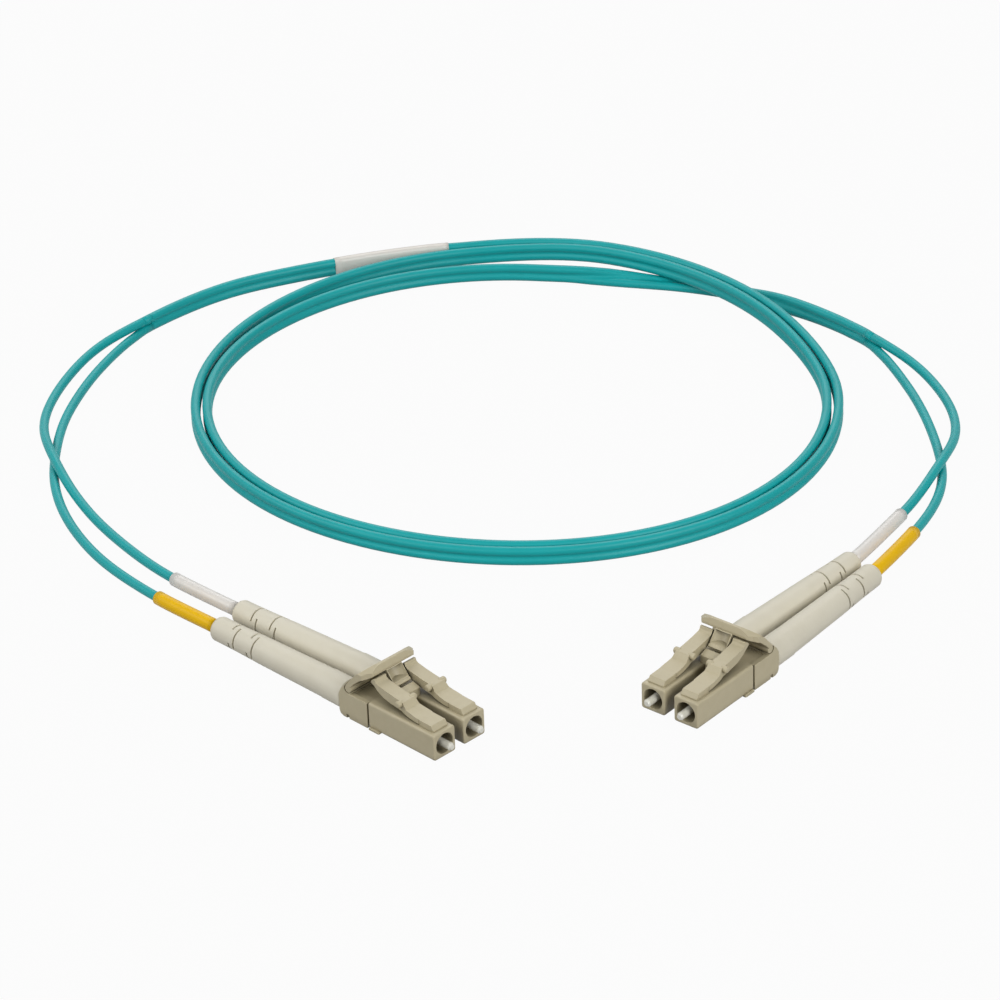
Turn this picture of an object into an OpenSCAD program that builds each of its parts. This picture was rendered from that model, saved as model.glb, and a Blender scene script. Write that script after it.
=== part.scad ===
// Duplex fibre optic patch cord: two pairs of small latching plugs joined by about a metre of zip cord,
// which lies in a flat coil of two loops. Millimetres: X to the right, Y away, Z up from the table.
// A plug is drawn in its own frame: X forward with the nose face at X = 0, Y to the left, Z up, and its
// axis at Y = 0. Each end of the cord holds a white plug and a yellow plug side by side in one clip.

/* [Plug body] */
// Distance between the two plug axes of a pair
plug_pitch = 6.25; // [6.2:0.01:6.3]
// Side of the square nose
nose_side = 4.52; // [4.4:0.02:4.6]
// Height of the plug axis over the table
axis_height = 2.5; // [2.45:0.01:2.55]
// Nose face to the seam in front of the clip
body_length = 14.2; // [14:0.05:14.3]
// Bore of the nose round the ferrule
nose_bore_d = 3.3; // [3.2:0.05:3.4]
// Depth of the nose bore
nose_bore_depth = 3.3; // [3:0.1:3.4]
// Bore of the spring chamber
chamber_d = 3.1; // [3.05:0.01:3.14]
// Width of the neck that the clip grips
neck_width = 3.9; // [3.8:0.05:4]
// Bevel round the nose face
nose_bevel = 0.22; // [0.1:0.01:0.3]

/* [Ferrule and spring] */
// Diameter of the ceramic ferrule
ferrule_d = 1.249; // [1.2485:0.0005:1.2495]
// Length of the ferrule
ferrule_length = 6.5; // [6.4:0.1:6.8]
// Ferrule tip in front of the nose face
ferrule_reach = 1.65; // [1.5:0.05:1.8]
// Diameter of the ferrule's rear, pressed into its holder
ferrule_seat_d = 0.92; // [0.9:0.01:0.94]
// Diameter of the ferrule holder's flange
flange_d = 2.9; // [2.8:0.05:2.95]

/* [Latch] */
// Width of the latch plate
latch_width = 3; // [2.8:0.05:3.1]
// Width of the latch arm behind the ears
arm_width = 2.34; // [2.2:0.02:2.4]
// Tip to tip over the two ears
ear_span = 4.2; // [4:0.05:4.3]
// Radius of the latch hinge barrel
latch_barrel_r = 0.42; // [0.38:0.01:0.43]
// Running clearance of the hinge barrels, on the radius
barrel_clearance = 0.05; // [0.03:0.01:0.06]

/* [Clip and trigger] */
// Width over the side walls of the clip
clip_width = 10.9; // [10.85:0.05:11]
// Back face of the clip behind the nose face
clip_back = 20.6; // [20.5:0.05:20.7]
// Height of the clip walls
clip_height = 5.05; // [5:0.01:5.1]
// Length of the trigger bar
bar_length = 9.4; // [9.2:0.1:9.6]
// Radius of the trigger hinge barrel
trigger_barrel_r = 0.65; // [0.6:0.01:0.66]

/* [Boot and sleeve] */
// Boot diameter at the clip
boot_front_d = 4.94; // [4.9:0.01:4.96]
// Boot diameter at its rear end
boot_rear_d = 4.06; // [3.9:0.02:4.1]
// Diameter of the polarity sleeves
sleeve_d = 2.08; // [2:0.02:2.2]
// Width of a relief slot in the boot
slot_width = 0.36; // [0.3:0.02:0.45]
// Arc of a relief slot in degrees
slot_arc = 112; // [100:2:130]

/* [Cord] */
// Diameter of a simplex leg
leg_d = 1.6; // [1.56:0.02:1.62]
// Width of the zip cord, across both its lobes
zip_height = 3.2; // [3.1:0.02:3.24]
// Thickness of the zip cord
zip_thickness = 1.6; // [1.5:0.02:1.64]
// Radius at which the coil begins
coil_start_r = 55.6; // [55.5:0.1:55.8]
// Radius that each loop loses to the next one
coil_step = 2; // [2:0.05:2.1]
// Turn of the coil in degrees, two loops and a little more
coil_turn = 735; // [735:1:735]
// Rise of the loops over the lead that crosses beneath them
crossing_rise = 2; // [1.98:0.01:2.1]

/* [Hidden] */
$fn = 48;
FIBRES = ["white", "yellow"];
ENDS = ["left", "right"];
PLUG_PIECES = ["housing", "latch", "ferrule", "ferrule_holder", "spring", "back_post", "crimp_ring",
    "boot", "sleeve", "leg"];

TAUPE = "#BDB59C";
CREAM = "#D2CDBD";
AQUA = "#2FA7A6";
YELLOW = "#E0B800";
WHITE = "#DEDAD2";
CERAMIC = "#F2EFE8";
STEEL = "#B5B7BA";

// Where each pair lies: the middle of its two nose faces, and its heading
pair_nose = [[-14.7, -22.2], [17.1, -16.2]];
pair_yaw = [-45.7, -130.4];
// Side of the white plug in each pair, +1 for left of the pair's axis; the yellow one is opposite
white_side = [1, -1];
function side_of(e, f) = f == 0 ? white_side[e] : -white_side[e];

// Heights and stations along the plug, all measured back from the nose face
eps = 0.01;
nose_top = axis_height + nose_side / 2;
nose_bottom = axis_height - nose_side / 2;
shoulder_back = nose_bore_depth + 0.6;
shoulder_hole_d = 2.24;
holder_front = 2.6;
neck_back = clip_back - 0.5;
neck_top = axis_height + 1.85;
neck_bottom = axis_height - 1.9;
seam = 0.1;
clip_front = body_length + seam;
spring_front = 5.1;
post_front = 10.6;
post_back = 23.9;
post_neck_r = 1.1;
crimp_r = 1.4;

// Hinge axes as [X, Z] in the plug frame
latch_hinge = [-3.95, 5.33];
trigger_hinge = [-18.55, 5.3];

// Boot: it bends a little where the crimp ring ends, [end][fibre]
boot_joint_x = -24.4;
boot_rear_length = [[27.3, 26.1], [27.3, 26.1]];
boot_bend = [[1.2, 0], [-0.4, 2.8]];
boot_droop = 1;
boot_bore_d = 1.7;
slot_depth = 0.55;
slot_pairs = [9.3, 5];
slot_gap = 1.15;
slot_turn = [[20, 65], [50, 10]];
sleeve_gap = 0.3;

// Far ends of the polarity sleeves, [end][fibre]
sleeve_end = [
    [[-60.5, 28.5, 1.5], [-62.5, 22.5, 1.5]],
    [[58, 41, 1.5], [59.5, 35, 1.5]]];

// The legs from the sleeves to the splits, [end][fibre]; the white leg passes over the yellow one
leg_route = [[
    [[-65, 35, 0.9], [-70, 42.5, 0.8], [-75, 51, 0.9], [-79, 59.5, 1.6], [-81, 64.5, 2.4],
     [-82.5, 69.5, 2.5], [-84, 75.5, 1.7], [-85, 84, 0.8], [-83.5, 93.5, 0.8], [-80.5, 102.5, 1],
     [-76, 110, 1.9]],
    [[-66, 27.5, 1], [-71, 34, 0.8], [-75.5, 42, 0.8], [-79, 50.5, 0.8], [-81, 58, 0.8],
     [-82, 65.5, 0.8], [-82, 74, 0.8], [-81.5, 83, 0.8], [-79.5, 92, 0.8], [-77, 100.5, 0.8],
     [-73.5, 108.5, 0.8]]], [
    [[61, 46.5, 1.2], [63.5, 51, 2.2], [65.5, 55.5, 2.5], [67.5, 60, 2.2], [69.5, 67, 1],
     [70, 74, 0.8], [69, 81, 0.8], [67, 88, 0.9], [63.5, 94.5, 1.8]],
    [[62, 40.5, 1], [64.5, 47, 0.8], [66, 54, 0.8], [66, 62, 0.8], [65.5, 70, 0.8],
     [64.5, 78, 0.8], [63, 85.5, 0.8], [61, 93, 0.8]]]];

// The zip cord stands on its edge at this height; its lobes are the two legs
zip_z = zip_height / 2 + 0.1;
lobe_offset = 0.82;
split = [[-69.5, 115.5, zip_z], [58.5, 100, zip_z]];
lead_left_route = [split[0], [-66, 119.5, zip_z], [-60.5, 124.5, zip_z], [-54.5, 129, zip_z],
    [-48, 131.9, zip_z], [-41.5, 134.3, zip_z]];
label_route = [[-36, 136.2, zip_z], [-30, 137.9, zip_z], [-24, 139.3, zip_z]];
// This lead crosses beneath the coil lying flat, so each point also has the cord's twist in degrees
lead_right_route = [[9, 129.7, 1.7, 0], [15, 128.6, 1.4, 45], [21, 127.3, 0.82, 90],
    [26.5, 126, 0.82, 90], [32, 123.9, 0.82, 90], [37.5, 121.4, 0.82, 90], [42.5, 117.9, 1.35, 45],
    [47, 113.5, 1.7, 0], [51.5, 109.2, 1.7, 0], [55.5, 105, 1.7, 0], [58.5, 100, 1.7, 0]];

// Coil: clockwise from coil_start_angle round coil_centre, a little out of round
coil_centre = [-3.15, 85.75];
coil_start_angle = 100;
rings_per_loop = 24;
out_of_round = [[-1.2, -0.7], [0.2, -1.2], [-0.3, -0.4]];
first_rise = 0.5;
last_drift = 5.4;
crossing_angle = 47.5;
crossing_half = 22.5;
crossing_ease = 30;
crossing_draw = 2;
stub = 3.3;

function smooth(x) = let (c = min(1, max(0, x))) c * c * (3 - 2 * c);
function lift(t) = t > 600 ? 0 :
    smooth(1 - (abs(coil_start_angle - t % 360 - crossing_angle) - crossing_half) / crossing_ease);
function wobble(a) = [for (k = [1:3]) out_of_round[k - 1] * [cos(k * a), sin(k * a)]] * [1, 1, 1];
function coil_radius(t) = coil_start_r - coil_step * t / 360 + first_rise * smooth(1 - t / 30)
    - last_drift * smooth((t - 640) / 100)
    + wobble(coil_start_angle - t) - crossing_draw * lift(t);
function coil_point(t) = let (a = coil_start_angle - t, r = coil_radius(t))
    [coil_centre[0] + r * cos(a), coil_centre[1] + r * sin(a), zip_z + crossing_rise * lift(t)];

function unit(v) = v / norm(v);
function flat_dir(a, b) = unit([b[0] - a[0], b[1] - a[1], 0]);
coil_in_dir = flat_dir(coil_point(0), coil_point(8));
coil_out_dir = flat_dir(coil_point(coil_turn - 8), coil_point(coil_turn));
coil_in = coil_point(0) - stub * coil_in_dir;
coil_out = coil_point(coil_turn) + stub * coil_out_dir;
coil_steps = ceil(coil_turn * rings_per_loop / 360);
coil_points = concat([coil_in], [for (i = [0:coil_steps]) coil_point(min(coil_turn,
    i * 360 / rings_per_loop))], [coil_out]);

// Least gap between one loop and the next, ring by ring
coil_gap = min([for (i = [0:len(coil_points) - 1]) for (j = [i + 12:1:len(coil_points) - 1])
    norm(coil_points[i] - coil_points[j]) - zip_thickness]);
echo(least_gap_of_the_coil_to_itself = coil_gap);

function route_length(p) = len(p) < 2 ? 0 :
    [for (i = [1:len(p) - 1]) norm(p[i] - p[i - 1])] * [for (i = [1:len(p) - 1]) 1];

// From the plug frame to the table
function turned(v, a) = [v[0] * cos(a) - v[1] * sin(a), v[0] * sin(a) + v[1] * cos(a), v[2]];
function on_table(e, f, p) = turned(p + [0, side_of(e, f) * plug_pitch / 2, 0], pair_yaw[e])
    + [pair_nose[e][0], pair_nose[e][1], 0];
function boot_dir(e, f) = turned([-cos(boot_droop), 0, -sin(boot_droop)], boot_bend[e][f]);
boot_joint = [boot_joint_x, 0, axis_height];
function boot_end(e, f) = on_table(e, f, boot_joint + boot_rear_length[e][f] * boot_dir(e, f));

// A leg runs from the crimp ring through boot and sleeve and along its route into its lobe of the zip
function split_dir(e) = e == 0 ? flat_dir(lead_left_route[1], split[0]) : flat_dir(
    lead_right_route[9], split[1]);
function lobe_end(e, f) = split[e] + [0, 0, f == 0 ? lobe_offset : -lobe_offset];
function leg_points(e, f) = concat([on_table(e, f, boot_joint), boot_end(e, f), sleeve_end[e][f]],
    leg_route[e][f], [lobe_end(e, f) + 2 * split_dir(e), lobe_end(e, f)]);

lead_left_points = concat(lead_left_route, label_route, [coil_in - 3 * coil_in_dir, coil_in]);
lead_right_start = [[coil_out[0], coil_out[1], coil_out[2], 0],
    [coil_out[0] + 2 * coil_out_dir[0], coil_out[1] + 2 * coil_out_dir[1], coil_out[2], 0]];
lead_right_points = concat(lead_right_start, lead_right_route);
label_points = concat([lead_left_route[5] * 0.2 + label_route[0] * 0.8], label_route,
    [coil_in - 3 * coil_in_dir, coil_in - 0.4 * coil_in_dir]);

echo(zip_length = route_length(lead_left_points) + route_length(coil_points)
    + route_length([for (p = lead_right_points) [p[0], p[1], p[2]]]));
for (e = [0, 1]) for (f = [0, 1])
    echo(str(ENDS[e], " ", FIBRES[f], " leg_length"), route_length(leg_points(e, f)));

// Cross-sections as [sideways, up] points, clockwise seen from behind
function ring_profile(r, n) = [for (i = [0:n - 1]) r * [sin(360 * i / n), cos(360 * i / n)]];
half_t = zip_thickness / 2;
half_h = zip_height / 2;
zip_profile = [[0, half_h], [half_t, 0.9], [0.3, 0], [half_t, -0.9], [0, -half_h], [-half_t, -0.9],
    [-0.3, 0], [-half_t, 0.9]];
coil_profile = [[0, half_h], [half_t, 0.9], [half_t, -0.9], [0, -half_h], [-half_t, -0.9],
    [-half_t, 0.9]];
function label_profile(grow) = [for (s = [[0.35, 1], [1, 0.5], [1, -0.5], [0.35, -1], [-0.35, -1],
    [-1, -0.5], [-1, 0.5], [-0.35, 1]]) [s[0] * (half_t + grow), s[1] * (half_h + grow)]];

label_outer = 0.18;
label_inner = 0.1;

// Rings square to the path: each turns its profile by the twist of its point, where the point has one
function along(p, i) = unit([for (k = [0:2]) p[min(i + 1, len(p) - 1)][k] - p[max(i - 1, 0)][k]]);
function ring_at(p, i, profile) =
    let (t = along(p, i), side = unit(cross([0, 0, 1], t)), up = cross(t, side),
        w = len(p[i]) > 3 ? p[i][3] : 0)
    [for (q = profile) [p[i][0], p[i][1], p[i][2]] + side * (q[0] * cos(w) + q[1] * sin(w))
        + up * (q[1] * cos(w) - q[0] * sin(w))];
function ring_points(p, profile) = [for (i = [0:len(p) - 1]) each ring_at(p, i, profile)];
// Triangles of a tube wall from one ring of n points to the next; flip turns the wall inside out
function wall(rings, n, first, flip) = [for (i = [0:rings - 2]) for (j = [0:n - 1])
    let (a = first + i * n + j, b = first + i * n + (j + 1) % n, c = a + n, d = b + n)
    each (flip ? [[a, c, b], [b, c, d]] : [[a, b, c], [b, d, c]])];

module sweep(p, profile) {
    n = len(profile);
    last = (len(p) - 1) * n;
    caps = concat([for (j = [1:n - 2]) [0, j + 1, j]], [for (j = [1:n - 2]) [last, last + j, last + j + 1]]);
    polyhedron(ring_points(p, profile), concat(wall(len(p), n, 0, false), caps));
}

module sweep_sleeve(p, outer, inner) {
    n = len(outer);
    rings = len(p);
    half = rings * n;
    front = [for (j = [0:n - 1]) let (k = (j + 1) % n) each [[j, half + j, k], [k, half + j, half + k]]];
    back = [for (j = [0:n - 1]) let (k = (j + 1) % n, o = half - n, q = half + half - n)
        each [[o + j, o + k, q + j], [o + k, q + k, q + j]]];
    polyhedron(concat(ring_points(p, outer), ring_points(p, inner)),
        concat(wall(rings, n, 0, false), wall(rings, n, half, true), front, back));
}

// An outline from its half, with the other half mirrored onto it
function both_sides(half, flip) = concat(half,
    [for (i = [len(half) - 1:-1:0]) [half[i][0] * flip[0], half[i][1] * flip[1]]]);

// A profile drawn as [X, Z] points, made width wide about the plug's middle plane
module side_profile(points, width) {
    translate([0, width / 2, 0]) rotate([90, 0, 0]) linear_extrude(width) polygon(points);
}

// A rounded rectangle in Y and Z, run along X from a to b
module rounded_bar(a, b, width, bottom, top, r) {
    rotate([90, 0, 90]) translate([0, 0, a]) linear_extrude(b - a) union() {
        translate([-width / 2 + r, bottom]) square([width - 2 * r, top - bottom]);
        translate([-width / 2, bottom + r]) square([width, top - bottom - 2 * r]);
        for (y = [-1, 1]) for (z = [bottom + r, top - r])
            translate([y * (width / 2 - r), z]) circle(r);
    }
}

// A round bar along the plug axis from station a back to station b
module axle(a, b, r) {
    translate([-b, 0, axis_height]) rotate([0, 90, 0]) cylinder(h = b - a, r = r);
}

// A revolved profile of [radius, station] points, with stations counted back along the axis
module revolved(points) {
    translate([0, 0, axis_height]) rotate([0, -90, 0]) rotate_extrude() polygon(points);
}

// A cylinder across the plug, its axis at hinge
module across(hinge, r, width) {
    translate([hinge[0], width / 2, hinge[1]]) rotate([90, 0, 0]) cylinder(h = width, r = r);
}

module at_pair(e) {
    translate([pair_nose[e][0], pair_nose[e][1], 0]) rotate(pair_yaw[e]) children();
}

module at_plug(e, f) {
    at_pair(e) translate([0, side_of(e, f) * plug_pitch / 2, 0]) children();
}

// Square nose with the round bore, the fixed root of the latch on top, and the neck for the clip
module housing(outer_side) {
    root = [[-0.75, nose_top - 0.5], [-0.75, nose_top], [-0.85, 5.05], [-1.3, 5.68], [-2.4, 5.72],
        [latch_hinge[0], latch_hinge[1] + latch_barrel_r], [latch_hinge[0], nose_top - 0.5]];
    lug_front = 11.6;
    lug_back = 13.9;
    lug_bottom = 0.12;
    lug_r = 0.25;
    lug_depth = 0.7;
    color(TAUPE) difference() {
        union() {
            intersection() {
                rounded_bar(-body_length, 0, nose_side, nose_bottom, nose_top, 0.18);
                side_profile([[-body_length, 0], [-body_length, 6], [-nose_bevel, 6],
                    [-nose_bevel, nose_top], [0, nose_top - nose_bevel], [0, nose_bottom + nose_bevel],
                    [-nose_bevel, nose_bottom], [-nose_bevel, 0]], nose_side);
            }
            rounded_bar(-neck_back, -body_length + eps, neck_width, neck_bottom, neck_top, 0.3);
            side_profile(root, latch_width);
            translate([0, outer_side * (nose_side / 2 - 0.3), 0]) rotate([90, 0, 0])
                translate([0, 0, outer_side > 0 ? -lug_depth : 0]) linear_extrude(lug_depth) {
                    translate([-lug_back + lug_r, lug_bottom])
                        square([lug_back - lug_front - 2 * lug_r, 2 * lug_r]);
                    for (x = [lug_front + lug_r, lug_back - lug_r])
                        translate([-x, lug_bottom + lug_r]) circle(lug_r);
                }
        }
        axle(-1, nose_bore_depth, nose_bore_d / 2);
        axle(nose_bore_depth - eps, shoulder_back + eps, shoulder_hole_d / 2);
        axle(shoulder_back, neck_back + 1, chamber_d / 2);
        across(latch_hinge, latch_barrel_r + barrel_clearance, nose_side + 1);
    }
}

// Latch: barrel, plate, step, two ears and the arm with its upturned lip under the trigger bar
module latch() {
    plate = [[latch_hinge[0], latch_hinge[1] + latch_barrel_r], [latch_hinge[0], latch_hinge[1]],
        [-4.1, 4.9], [-4.9, 4.95], [-5.8, 5.02], [-7, 5.25], [-7.9, 5.45], [-7.9, 7.15], [-7.5, 7.1],
        [-6.72, 6.22], [-6.5, 6.12], [-4.9, 5.86]];
    arm = [[-7.4, 5.33], [-7.4, 6.98], [-7.6, 7.1], [-9.2, 7.2], [-13.1, 7.9], [-13.32, 8],
        [-13.42, 8.45], [-13.58, 8.62], [-13.85, 8.55], [-14.4, 8.05], [-14.45, 7.8], [-13.95, 7.5],
        [-13.55, 7.2], [-13, 6.75], [-11.8, 6.1], [-10.3, 5.75], [-8.85, 5.56]];
    ear = [-8.1, 6.72];
    ear_r = 0.45;
    ear_side = (ear_span - arm_width) / 2 + 0.4;
    color(TAUPE) union() {
        across(latch_hinge, latch_barrel_r, latch_width);
        side_profile(plate, latch_width);
        side_profile(arm, arm_width);
        for (s = [-1, 1]) translate([0, s * (ear_span - ear_side) / 2, 0]) across(ear, ear_r, ear_side);
    }
}

// Ceramic pin with a bevelled tip
module ferrule() {
    r = ferrule_d / 2;
    tip = -ferrule_reach;
    tail = ferrule_length - ferrule_reach;
    color(CERAMIC) revolved([[0, tip], [0.4, tip], [r, tip + 0.35], [r, holder_front],
        [ferrule_seat_d / 2, holder_front], [ferrule_seat_d / 2, tail], [0, tail]]);
}

// Metal flange that carries the ferrule and takes the spring's push
module ferrule_holder() {
    tail = ferrule_length - ferrule_reach;
    color(STEEL) difference() {
        revolved([[0.3, holder_front], [1.05, holder_front], [1.05, shoulder_back + 0.02],
            [flange_d / 2 - 0.15, shoulder_back + 0.02], [flange_d / 2, shoulder_back + 0.17],
            [flange_d / 2, spring_front], [0.8, spring_front], [0.8, 9.6], [0.3, 9.6]]);
        axle(holder_front - 1, tail, ferrule_seat_d / 2);
    }
}

// Sealed inside the housing, so the spring is the plain space that its wire winds through
module spring() {
    color(STEEL) difference() {
        axle(spring_front, post_front, 1.3);
        axle(spring_front - 1, post_front + 1, 0.85);
    }
}

// Post that closes the chamber, with the neck that the cord's yarns are crimped on
module back_post() {
    color(STEEL) revolved([[0.85, post_front], [chamber_d / 2, post_front], [chamber_d / 2, 12.4],
        [1.35, 12.7], [1.35, neck_back], [post_neck_r, neck_back], [post_neck_r, post_back],
        [0.85, post_back]]);
}

module crimp_ring() {
    color(STEEL) revolved([[post_neck_r, clip_back + 0.2], [crimp_r - 0.1, clip_back + 0.2],
        [crimp_r, clip_back + 0.3], [crimp_r, post_back - 0.1], [crimp_r - 0.1, post_back],
        [post_neck_r, post_back]]);
}

// Clip: a band round both necks, a tongue between the plugs with a block on it, and the trough for
// the trigger's barrel
module clip() {
    back_top = trigger_hinge[1] - 0.7;
    wall = 0.9;
    deck = 4.3;
    deck_back = 17.7;
    edge_r = 0.35;
    shell = [[-clip_front, 0.2], [-clip_front, clip_height], [trigger_hinge[0], clip_height],
        [trigger_hinge[0], back_top + 0.2], [-clip_back + 1.3, back_top + 0.2],
        [-clip_back + 0.4, back_top - 0.2], [-clip_back, back_top - 0.9], [-clip_back, 0.9],
        [-clip_back + 0.25, 0.3], [-clip_back + 0.9, 0], [-clip_front - 0.2, 0]];
    tongue = [[-clip_front - 1, 0.6], [-clip_front - 1, nose_top], [-10, nose_top], [-10, 2.2],
        [-11, 0.6]];
    block = [[-11.45, nose_top], [-11.45, 6.5], [-10, 6.15], [-9.9, 6.05], [-9.9, nose_top]];
    channel = neck_width + 2 * eps;
    color(TAUPE) difference() {
        union() {
            intersection() {
                side_profile(shell, clip_width);
                rounded_bar(-clip_back - 1, -clip_front + 1, clip_width, 0, clip_height, edge_r);
            }
            side_profile(tongue, plug_pitch - nose_side - 0.04);
            side_profile(block, 3.2);
        }
        for (s = [-1, 1]) translate([0, s * plug_pitch / 2, 0]) {
            rounded_bar(-neck_back, -clip_front + 1, neck_width, neck_bottom, neck_top, 0.3);
            axle(neck_back - 1, clip_back + 1, crimp_r + 0.05);
        }
        translate([-deck_back, -clip_width / 2 + wall, deck])
            cube([deck_back - clip_front + eps, clip_width - 2 * wall, 1]);
        for (s = [-1, 1]) translate([-19, s * (clip_width / 2 - 0.2) - 0.3, -1]) cube([0.6, 0.6, 1.5]);
        across(trigger_hinge, trigger_barrel_r + barrel_clearance, clip_width + 1);
    }
}

// Trigger: the barrel, the plate that rises to the bar over both latch arms, and the scooped web
// between the arms whose foot ends short of the clip's block
module trigger() {
    plate = [[trigger_hinge[0] - 0.45, 5.75], [-18.3, 6.55], [-17.3, 7.8], [-16.4, 8.75], [-15.7, 9.4],
        [-15, 10], [-14.55, 10.3], [-14.25, 10.25], [-14.05, 10], [-13.85, 9.2], [-13.85, 8.95],
        [-13.95, 8.85], [-14.6, 8.45], [-15.75, 7.95], [-17.2, 6.7], [-18.1, 5.7]];
    half_bar = bar_length / 2;
    half_root = clip_width / 2;
    plan = [[-13, half_bar - 1.1], [-13.82, half_bar - 0.9], [-13.95, half_bar - 0.45],
        [-14.2, half_bar - 0.15], [-14.5, half_bar], [-14.9, half_bar - 0.05], [-15.3, half_bar - 0.2],
        [-15.7, half_bar - 0.15], [-16.3, half_bar + 0.2], [-16.9, half_root - 0.25],
        [-17.4, half_root - 0.05], [-17.9, half_root], [-20, half_root]];
    ends = [[3.4, 10.4], [3.9, 10.25], [4.3, 9.95], [4.6, 9.5], [4.8, 8.9], [half_root + 0.1, 8],
        [half_root + 0.1, 4]];
    web = [[-13.7, 9], [-12.35, 7.25], [-12.3, 7.1], [-12, 7], [-11.8, 6.75], [-11.95, 6.45],
        [-13, 6.6], [-14.6, 6.85], [-15.6, 7.3], [-15.6, 8.2], [-14.6, 9]];
    scoop_r = 1.58;
    scoop_axis = [-12.64, 8.42];
    scoop_lean = 37.6;
    color(TAUPE) union() {
        across(trigger_hinge, trigger_barrel_r, clip_width);
        intersection() {
            side_profile(plate, clip_width + 1);
            translate([0, 0, 4]) linear_extrude(8) polygon(both_sides(plan, [1, -1]));
            rotate([90, 0, 90]) translate([0, 0, -20]) linear_extrude(8)
                polygon(both_sides(ends, [-1, 1]));
        }
        difference() {
            side_profile(web, 3.2);
            intersection() {
                translate([scoop_axis[0], 0, scoop_axis[1]]) rotate([0, -scoop_lean, 0])
                    cylinder(h = 8, r = scoop_r, center = true);
                translate([-20, -2, 7.2]) cube([10, 4, 1.7]);
            }
        }
    }
}

// Relief slots cut into the boot: two rings of opposite arcs, the second turned by a quarter
module slot_pair(station, turn) {
    for (i = [0, 1]) for (half = [0, 180]) rotate([0, 0, turn + 90 * i + half])
        rotate_extrude(angle = slot_arc)
            translate([boot_rear_d / 2 - slot_depth, station + (i - 0.5) * slot_gap - slot_width / 2])
                square([1, slot_width]);
}

module boot(e, f) {
    rear = boot_rear_length[e][f];
    front_r = boot_front_d / 2;
    end_r = boot_rear_d / 2;
    straight = -boot_joint_x + 0.6;
    color(CREAM) difference() {
        union() {
            revolved([[0, clip_back], [front_r - 0.15, clip_back], [front_r, clip_back + 0.15],
                [front_r - 0.03, straight], [0, straight]]);
            translate(boot_joint) rotate([0, -boot_droop, boot_bend[e][f]]) rotate([0, -90, 0])
                rotate_extrude() polygon([[0, -0.5], [front_r - 0.08, -0.5], [2.2, 15],
                    [end_r + 0.02, rear - 5], [end_r, rear - 0.5], [end_r - 0.15, rear - 0.15],
                    [end_r - 0.5, rear], [0, rear]]);
        }
        axle(clip_back - 1, -boot_joint_x + 0.2, crimp_r + 0.05);
        translate(boot_joint) rotate([0, -boot_droop, boot_bend[e][f]]) rotate([0, -90, 0]) {
            translate([0, 0, -0.2]) cylinder(h = rear + 1, r = boot_bore_d / 2);
            for (from_end = slot_pairs) slot_pair(rear - from_end, slot_turn[e][f]);
        }
    }
}

// Coloured sleeve from behind the boot to sleeve_end
module sleeve(e, f) {
    a = boot_end(e, f);
    v = sleeve_end[e][f] - a;
    length = norm(v);
    color(f == 0 ? WHITE : YELLOW) translate(a)
        rotate([0, acos(v[2] / length), atan2(v[1], v[0])]) difference() {
            translate([0, 0, sleeve_gap]) cylinder(h = length - sleeve_gap, r = sleeve_d / 2);
            translate([0, 0, -1]) cylinder(h = length + 2, r = boot_bore_d / 2);
        }
}

module leg(e, f) {
    color(AQUA) sweep(leg_points(e, f), ring_profile(leg_d / 2, 8));
}

module zip_lead_left() {
    color(AQUA) sweep(lead_left_points, zip_profile);
}

module zip_coil() {
    color(AQUA) sweep(coil_points, coil_profile);
}

module zip_lead_right() {
    color(AQUA) sweep(lead_right_points, zip_profile);
}

module label() {
    color(WHITE) sweep_sleeve(label_points, label_profile(label_outer), label_profile(label_inner));
}

for (e = [0, 1]) {
    for (f = [0, 1]) {
        name = str(ENDS[e], "_", FIBRES[f], "_");
        at_plug(e, f) housing(side_of(e, f));
        at_plug(e, f) latch();
        at_plug(e, f) ferrule();
        at_plug(e, f) ferrule_holder();
        at_plug(e, f) spring();
        at_plug(e, f) back_post();
        at_plug(e, f) crimp_ring();
        at_plug(e, f) boot(e, f);
        sleeve(e, f);
        leg(e, f);
    }
    at_pair(e) clip();
    at_pair(e) trigger();
}
zip_lead_left();
zip_coil();
zip_lead_right();
label();
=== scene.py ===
# Duplex fibre optic patch cord: two pairs of latching plugs joined by a zip cord in a flat coil.
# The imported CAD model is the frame. Everything is in metres; lengths below are written in mm.
import math

import bmesh
import bpy
from mathutils import Matrix, Vector


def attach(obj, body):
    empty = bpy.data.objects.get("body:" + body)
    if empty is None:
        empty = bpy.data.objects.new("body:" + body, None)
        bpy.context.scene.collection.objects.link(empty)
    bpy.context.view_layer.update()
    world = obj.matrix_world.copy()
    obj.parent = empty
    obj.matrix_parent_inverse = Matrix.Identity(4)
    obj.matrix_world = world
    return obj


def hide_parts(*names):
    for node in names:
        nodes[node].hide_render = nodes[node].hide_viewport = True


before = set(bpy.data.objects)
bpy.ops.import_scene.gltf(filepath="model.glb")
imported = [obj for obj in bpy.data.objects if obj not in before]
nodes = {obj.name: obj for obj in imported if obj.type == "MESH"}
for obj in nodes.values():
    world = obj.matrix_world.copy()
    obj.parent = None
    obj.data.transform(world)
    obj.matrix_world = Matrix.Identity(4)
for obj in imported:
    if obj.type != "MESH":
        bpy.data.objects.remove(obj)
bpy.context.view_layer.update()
MM = 0.001
ROOT = "cord_and_housings"

ENDS = ("left", "right")
FIBRES = ("white", "yellow")

# ---------------------------------------------------------------- camera, light and table

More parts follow.
